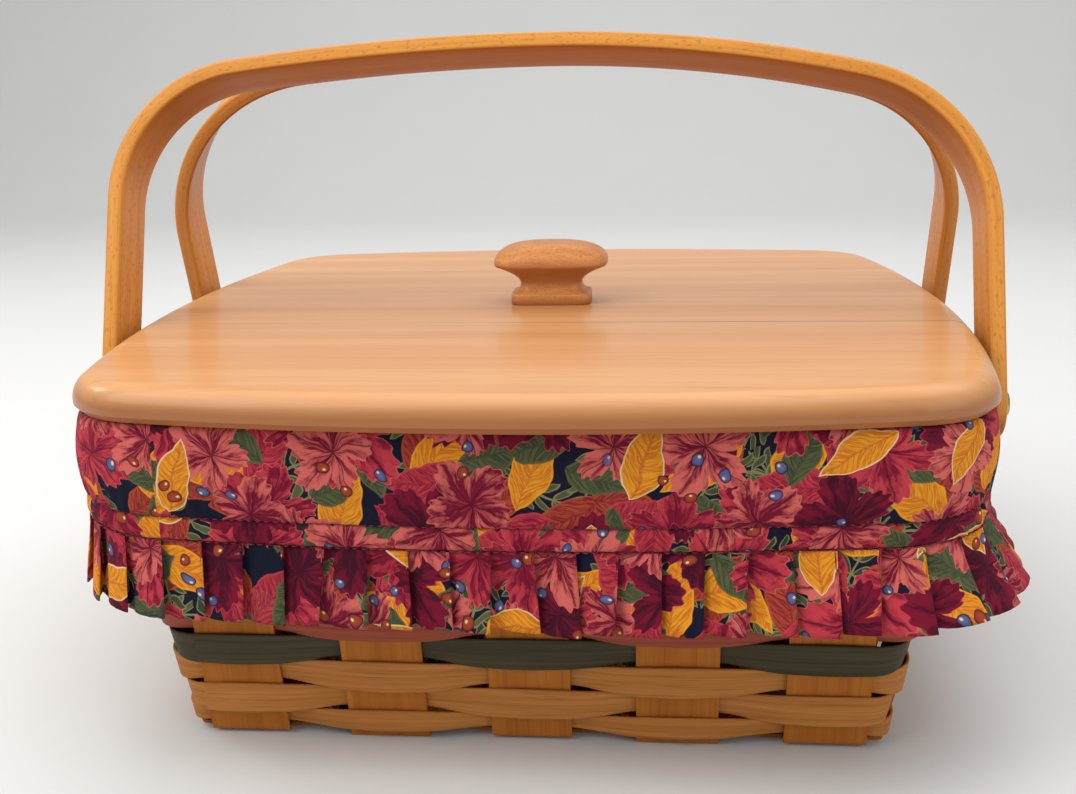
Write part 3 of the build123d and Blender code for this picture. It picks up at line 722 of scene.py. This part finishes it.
def ruffle(material):
    """Knife pleats pressed flat under the casing, which open and fan out down to the hem."""
    draw = np.random.default_rng(61)
    steps = np.array(FACE + FOLD_EDGE + BACK)
    pitch = CUFF_LENGTH / PLEATS
    open_by = 1 + 0.28 * draw.standard_normal(PLEATS).clip(-1.6, 1.6)
    sway = 0.10 * draw.standard_normal(PLEATS).clip(-2, 2)
    drop = 0.35 * draw.standard_normal(PLEATS)
    place = ((np.arange(PLEATS)[:, None] + steps[None, :, 0]) * pitch).ravel()
    deep = np.tile(steps[:, 1], PLEATS)
    pleat = np.repeat(np.arange(PLEATS), len(steps))
    turned = place / CUFF_LENGTH
    toward_right = np.cos((turned - 0.33) * TURN)
    lean_out = 2.8 + 9.5 * smooth(np.cos((turned - 0.31) * TURN)) + 5.0 * toward_right.clip(0) ** 6
    fall = np.sqrt(FRILL ** 2 - lean_out ** 2)
    hung_from = CASING_LOW + side_rise(place)
    levels = np.linspace(0, 1, 12)
    rows = []
    for t in levels:
        depth = 2.5 + 1.5 * smooth(np.array(t * 1.15)) * open_by[pleat]
        shifted = place + pitch * sway[pleat] * t
        half = CUFF_HALF - CLOTH + lean_out * t ** 1.25 + depth * deep
        (x, y), _ = around(shifted % CUFF_LENGTH, half, CUFF_CORNER_R)
        rows.append(np.stack([x, y, hung_from - t * fall + t * drop[pleat]], axis=1))
    points = np.array(rows)[::-1]
    gaps = np.linalg.norm(np.roll(points, -1, axis=1) - points, axis=2).mean(axis=0)
    stations = np.concatenate([[0.0], np.cumsum(gaps)])
    uv = flat_grid(stations, RUFFLE_PRINT - levels[::-1] * FRILL)
    obj = grid_mesh("ruffle", points, uv, wrap_columns=True)
    thicken(obj, PLEATED_SHEET)
    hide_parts("liner_ruffle")
    dress(obj, material, "basket")
    return obj


BAG_INSET = 6.2  # inside the wall's middle
BAG_FLOOR_Z = 4.0
BAG_SQUARENESS = 14.0
BAG_PRINT = 300.0


def bag_ring(half, z, slack):
    """One turn round the bag, square with rounded corners, drawn in by slack folds."""
    angle = spaced(TURN, 360)
    c, s = np.cos(angle), np.sin(angle)
    reach = half / (np.abs(c) ** BAG_SQUARENESS + np.abs(s) ** BAG_SQUARENESS) ** (1 / BAG_SQUARENESS)
    up = z / FOLD_Z
    ripple = waves(angle, TURN, 6, 81, 5, 18) * (1 - up / 2) + waves(angle, TURN, 6, 82, 9, 30) * up / 2
    reach = reach - slack * math.sin(math.pi * min(1.0, up)) * 0.9 * (ripple + 1.2)
    return np.stack([reach * c, reach * s, np.full_like(c, z)], axis=1)


def bag_floor(material):
    """Square floor of the bag, which lies a little uneven on the splints."""
    half = wall(BAG_FLOOR_Z) - BAG_INSET
    rows = []
    for share in np.linspace(0.004, 1.0, 15):
        ring = bag_ring(share * half, BAG_FLOOR_Z, 0.0)
        x, y = ring[:, 0], ring[:, 1]
        unevenness = 1 + np.sin(x / 17.0 + np.sin(y / 23.0)) * np.sin(y / 19.0 + 1.0)
        ring[:, 2] += 0.35 * unevenness * (1 - share ** 8)
        rows.append(ring)
    points = np.array(rows)
    flat = np.concatenate([points, points[:, :1]], axis=1)[:, :, :2]
    obj = grid_mesh("bag_floor", points, (flat + BAG_PRINT) * MM, wrap_columns=True)
    thicken(obj, offset=0.0)
    dress(obj, material, "basket")
    return obj


def bag(material):
    """Side of the cloth bag that lines the basket, slack against the weave, sewn to its floor."""
    half = wall(BAG_FLOOR_Z) - BAG_INSET
    profile = [(half, BAG_FLOOR_Z, 0.0), (half + 0.6, BAG_FLOOR_Z + 3.0, 0.4)]
    profile += [(wall(z) - BAG_INSET, z, 1.0) for z in np.linspace(14.0, FOLD_Z, 20)]
    points = np.array([bag_ring(*turn) for turn in profile])
    gaps = np.linalg.norm(np.roll(points[-1], -1, axis=0) - points[-1], axis=1)  # round its top edge
    stations = np.concatenate([[0.0], np.cumsum(gaps)])
    heights = np.array([math.dist(turn[:2], profile[0][:2]) for turn in profile])
    obj = grid_mesh("bag", points, flat_grid(stations, heights), wrap_columns=True)
    thicken(obj, offset=0.0)
    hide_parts("liner_bag")
    dress(obj, material, "basket")
    return obj


def elastic(material):
    """Flat elastic inside the casing."""
    distance = spaced(CUFF_LENGTH, 400)
    middle = (CASING_TOP + CASING_LOW) / 2 + side_rise(distance)
    rows = []
    for out, up in ((1, -1), (1, 1), (-1, 1), (-1, -1)):
        (x, y), _ = around(distance, ELASTIC_HALF + out * ELASTIC_THICKNESS / 2, CUFF_CORNER_R)
        rows.append(np.stack([x, y, middle + up * ELASTIC_WIDTH / 2], axis=1))
    uv = np.zeros((len(rows) + 1, len(distance) + 1, 2))
    obj = grid_mesh("elastic", np.array(rows), uv, wrap_rows=True, wrap_columns=True)
    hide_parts("liner_elastic")
    return dress(obj, material, "basket")


STITCH_PITCH = 3.0
# One stitch from end to end: along, in pitches, outward and half thickness
STITCH = ((0.12, -0.5, 0.12), (0.5, 0.12, 0.3), (0.88, -0.5, 0.12))


def stitching(material):
    """Two rows of stitches that close the casing."""
    count = int(CUFF_LENGTH / STITCH_PITCH)
    points, faces = [], []
    for z, shift in ((CASING_TOP - 0.2, -0.2), (CASING_LOW + 0.2, -0.4)):
        for k in range(count):
            place = np.array([(k + along) * CUFF_LENGTH / count for along, _, _ in STITCH])
            (x, y), (nx, ny) = around(place, CUFF_HALF + shift, CUFF_CORNER_R)
            height = z + side_rise(place)
            for j, (_, reach, r) in enumerate(STITCH):
                for out, up in ((reach + r, 0), (reach, r), (reach - r, 0), (reach, -r)):
                    points.append((x[j] + nx[j] * out, y[j] + ny[j] * out, height[j] + up))
                if j:
                    a, b = len(points) - 8, len(points) - 4
                    faces += [(a + i, a + (i + 1) % 4, b + (i + 1) % 4, b + i) for i in range(4)]
    return dress(mesh_object("casing_stitches", points, faces), material, "basket")


# Handles
def half_arch(corner_r, crown_r):
    """Middle line of the bent strip from a foot to the crown: x, z, the outward direction and half width."""
    corner_x = HANDLE_HALF_SPAN - corner_r
    gap = crown_r - corner_r
    crown_z = HANDLE_REACH - crown_r
    corner_z = crown_z + math.sqrt(gap ** 2 - corner_x ** 2)
    meet = math.asin(corner_x / gap)  # from straight up, where crown and corner arcs join
    end = HANDLE_WIDTH / 2
    half = []
    for a in np.linspace(-math.pi / 2, 0, 13)[:-1]:
        z = end * math.sin(a)
        half.append((HANDLE_HALF_SPAN, z, 1.0, 0.0, max(0.25, end * math.cos(a))))
    for z in np.linspace(0, corner_z, 12)[:-1]:
        half.append((HANDLE_HALF_SPAN, z, 1.0, 0.0, end))
    for a in np.linspace(0, math.pi / 2 - meet, 26)[:-1]:
        half.append((corner_x + corner_r * math.cos(a), corner_z + corner_r * math.sin(a),
                     math.cos(a), math.sin(a), end))
    for a in np.linspace(meet, 0, 22):
        half.append((crown_r * math.sin(a), crown_z + crown_r * math.cos(a), math.sin(a), math.cos(a), end))
    return half


def arch_path(left_corner_r):
    """The strip's middle line from its right foot to its left one."""
    right = half_arch(HANDLE_CORNER_R, HANDLE_CROWN_R)
    left = half_arch(left_corner_r, LEFT_CROWN_R)
    return right + [(-x, z, -out_x, out_z, half_width) for x, z, out_x, out_z, half_width in left[-2::-1]]


def strip_section(half_width):
    """Section of the strip, across and outward: four worn corners, and points on the flats between them."""
    thick = HANDLE_THICKNESS / 2
    r = min(HANDLE_EDGE_R, half_width * 0.6)
    flat = half_width - r
    loop = []
    for side, start in ((1, 0), (-1, 180)):
        for across, turn in ((side * flat, start), (-side * flat, start + 90)):
            for a in np.radians(turn + np.linspace(0, 90, 5)):
                loop.append((across + r * math.cos(a), side * (thick - r) + r * math.sin(a)))
            if turn == start:
                loop += [(side * share * flat, side * thick) for share in (0.5, 0, -0.5)]
    return loop


def handle(name, lane, left_corner_r, material):
    """Strip bent to an arch, with worn edges and rounded feet. lane is -1 in front and 1 at the back."""
    path = arch_path(left_corner_r)
    rows, stations = [], [0.0]
    for k, (x, z, out_x, out_z, half_width) in enumerate(path):
        if k:
            stations.append(stations[-1] + math.dist((x, z), path[k - 1][:2]))
        rows.append([(x + out_x * out, across, z + out_z * out) for across, out in strip_section(half_width)])
    points = np.array(rows)
    c, s = math.cos(lane * HANDLE_LEAN), math.sin(lane * HANDLE_LEAN)
    y, z = points[..., 1].copy(), points[..., 2].copy()
    points[..., 1] = c * y - s * z + lane * PIVOT_Y
    points[..., 2] = s * y + c * z + PIVOT_Z
    round_it = np.linspace(0, 60, points.shape[1] + 1)
    uv = flat_grid(round_it, np.array(stations) + 500 * lane)
    obj = grid_mesh(name + "_strip", points, uv, wrap_columns=True, closed=True)
    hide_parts(name)
    return dress(obj, material, name)


# Knob: half widths, heights above its foot, how square it is from above, and its depth to its width
KNOB_FOOT = 17.5
KNOB_NECK = 13.5
KNOB_LIP = 23.8
KNOB_HALF = 25.0
PLINTH_Z = 4.1
COVE_Z = 4.7
NECK_Z = 9.0
LIP_Z = 16.4
DOME_Z = 18.2
KNOB_TOP_Z = 26.95
FOOT_SQUARE = 7
HEAD_SQUARE = 4
TOP_SQUARE = 2.2
KNOB_DEPTH = 0.66


def knob_rounds():
    """Height, half width and squareness of the knob's rounds: plinth, cove, flared underside and dome."""
    quarter = [(math.sin(a), math.cos(a)) for a in np.linspace(0, math.pi / 2, 10)]
    rounds = [(0.0, KNOB_FOOT - 0.5, FOOT_SQUARE), (0.4, KNOB_FOOT, FOOT_SQUARE)]
    rounds += [(PLINTH_Z, KNOB_FOOT, FOOT_SQUARE)]
    rounds += [(COVE_Z + (NECK_Z - COVE_Z) * (1 - c), KNOB_NECK + (KNOB_FOOT - 0.4 - KNOB_NECK) * (1 - s),
                FOOT_SQUARE - (FOOT_SQUARE - HEAD_SQUARE) * s) for s, c in quarter]
    rounds += [(NECK_Z + (LIP_Z - NECK_Z) * t ** 0.75, KNOB_NECK + (KNOB_LIP - KNOB_NECK) * t ** 1.35,
                HEAD_SQUARE) for t in np.linspace(0, 1, 12)[1:]]
    rounds += [(LIP_Z + (DOME_Z - LIP_Z) * (1 - c), KNOB_LIP + (KNOB_HALF - KNOB_LIP) * s, HEAD_SQUARE)
               for s, c in quarter[2::2]]
    rounds += [(DOME_Z + (KNOB_TOP_Z - DOME_Z) * s, KNOB_HALF * max(c, 0.0004) ** 0.62,
                HEAD_SQUARE - (HEAD_SQUARE - TOP_SQUARE) * s) for s, c in quarter[1:]]
    return rounds


def knob(material):
    """Sawn and sanded knob: square foot, waist, swelling head."""
    angle = spaced(TURN, 128)
    c, s = np.cos(angle), np.sin(angle)
    rows = []
    for z, across, square in knob_rounds():
        x = across * np.sign(c) * np.abs(c) ** (2 / square)
        y = (KNOB_DEPTH * across + 0.5 * min(1.0, across)) * np.sign(s) * np.abs(s) ** (2 / square)
        rows.append(np.stack([x, y, np.full_like(x, LID_TOP_Z + GLUE_GAP + z)], axis=1))
    uv = np.zeros((len(rows), len(angle) + 1, 2))
    obj = grid_mesh("knob_sanded", np.array(rows), uv, wrap_columns=True, closed=True)
    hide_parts("knob")
    return dress(obj, material, "lid")


place_camera()
studio()

# Finishes
honey, honey_dark = linear(222, 168, 112), linear(198, 130, 72)
amber, amber_dark = linear(232, 162, 70), linear(196, 120, 42)
straw, straw_dark = linear(200, 136, 72), linear(150, 88, 36)
upright_light, upright_dark = linear(188, 116, 46), linear(148, 82, 24)
# Painted shade on the lid: its round front edge and sides, which turn from the top, are darkened
lid_grain_and_painted_shade = dict(coat=0.4, coat_roughness=0.16, ring=20.0, roughness=0.46, pore=0.14, seam=SEAM_Y * MM,
                 painted_shade_below=(linear(162, 98, 50), 0.85, 0.1))
back_board = wood("back_board_wood", honey, honey_dark, (4.0, 120.0, 70.0), **lid_grain_and_painted_shade)
front_board = wood("front_board_wood", honey, honey_dark, (4.0, 120.0, 70.0), shift=0.37, **lid_grain_and_painted_shade)
# Painted shade on the handles: faces that turn down, such as the inner face at the crown, are darkened
handle_wood = wood("handle_wood", amber, amber_dark, (420.0, 7.0, 1.0), which="UV", coat=0.2, shine=0.2,
                   roughness=0.42, pore=0.3, flecks=(1500.0, 330.0, 1.0),
                   painted_shade_below=(linear(150, 82, 26), -0.02, -0.7))
strip = dict(which="UV", roughness=0.55, shine=0.12, pore=0.35)
weaver_wood = wood("weaver_wood", straw, straw_dark, (9.0, 620.0, 1.0), **strip)
green_wood = wood("green_wood", linear(86, 78, 56), linear(46, 42, 30), (9.0, 620.0, 1.0), **strip)
red_wood = wood("red_wood", linear(176, 92, 68), linear(124, 54, 40), (9.0, 620.0, 1.0), **strip)
splint = dict(roughness=0.55, shine=0.12, pore=0.2)
front_splints = wood("front_splints", upright_light, upright_dark, (300.0, 9.0, 9.0), **splint)
side_splints = wood("side_splints", upright_light, upright_dark, (9.0, 300.0, 9.0), **splint)
band_wood = wood("band_wood", amber, amber_dark, (60.0, 60.0, 480.0), roughness=0.5)
batten_wood = wood("batten_wood", honey, honey_dark, (160.0, 6.0, 160.0), roughness=0.5, pore=0.2)
spacer_wood = wood("spacer_wood", amber, amber_dark, (8.0, 260.0, 260.0), roughness=0.45, coat=0.2)
# Painted shade on the knob: its waist and underside, which turn from the top, are darkened
knob_wood = wood("knob_wood", linear(234, 166, 94), linear(206, 126, 62), (110.0, 420.0, 480.0),
                 roughness=0.42, coat=0.15, pore=0.35, flecks=(1100.0, 420.0, 1100.0),
                 painted_shade_below=(linear(178, 118, 74), 0.45, -0.3))
brass = metal("brass", linear(206, 172, 98), 0.34)
steel = metal("steel", linear(176, 172, 166), 0.4)
cloth = printed_cloth("printed_cloth")
webbing = speckled("elastic", 0.9, 1500.0, linear(226, 222, 210), linear(196, 190, 176))
thread = speckled("thread", 0.8, 2500.0, linear(92, 22, 44), linear(140, 50, 70))

finishes = {"lid_front_board": front_board, "lid_back_board": back_board, "lid_batten_left": batten_wood,
            "lid_batten_right": batten_wood, "batten_brads": steel, "knob_screw": steel, "rim_tacks": brass,
            "handle_rivets": brass, "rivet_washers": brass, "handle_spacers": spacer_wood,
            "rim_outer_band": band_wood, "rim_inner_band": band_wood}
for number in range(1, 6):
    finishes[f"splint_front_back_{number}"] = front_splints
    finishes[f"splint_left_right_{number}"] = side_splints
for node, finish in finishes.items():
    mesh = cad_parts[node].data
    mesh.materials.clear()
    mesh.materials.append(finish)

for row in range(ROWS):
    weaver_row(row, {3: green_wood, 4: red_wood}.get(row, weaver_wood))
cuff(cloth)
casing(cloth)
ruffle(cloth)
bag_floor(cloth)
bag(cloth)
elastic(webbing)
stitching(thread)
handle("front_handle", -1, FRONT_LEFT_CORNER_R, handle_wood)
handle("back_handle", 1, BACK_LEFT_CORNER_R, handle_wood)
knob(knob_wood)
